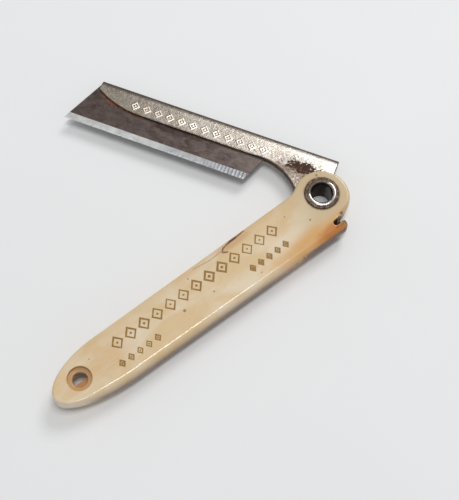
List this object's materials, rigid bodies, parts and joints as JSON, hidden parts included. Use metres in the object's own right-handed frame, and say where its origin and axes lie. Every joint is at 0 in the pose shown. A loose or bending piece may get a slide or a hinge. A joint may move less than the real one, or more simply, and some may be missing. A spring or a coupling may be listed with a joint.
{
  "type": "folding razor knife",
  "caption": "Pocket folding razor: a slanted steel blade held in a folded sheet-steel holder swings on a hollow eyelet into a slotted round-backed plastic handle.",
  "frame": {"origin": "on the pivot axis, at mid thickness of the handle", "axes": "the handle runs along -X, its slot faces +Y and its round back -Y, and +Z runs along the pivot axis towards the clinched end of the eyelet"},
  "size_m": [0.0761, 0.0597, 0.0061],
  "materials": {
    "handle_plastic": "aged ivory celluloid, glossy, with amber and brown stains",
    "holder_steel": "worn nickel plate with fine pitting and rust spots",
    "blade_steel": "dark mottled patina with a bright ground bevel",
    "eyelet_nickel": "polished nickel, tarnished in its bore",
    "washer_steel": "dark tarnished steel"
  },
  "bodies": {
    "handle_assembly": {"handle": "handle_plastic", "pivot_eyelet": "eyelet_nickel", "clinch_washer": "washer_steel"},
    "blade_assembly": {"blade_holder": "holder_steel", "razor_blade": "blade_steel"}
  },
  "joints": [
    {"name": "blade_hinge", "type": "hinge", "parent": "handle_assembly", "child": "blade_assembly", "pos_m": [0, 0, 0], "axis": [0, 0, 1], "range_deg": [-110.4, 59.4]}
  ]
}
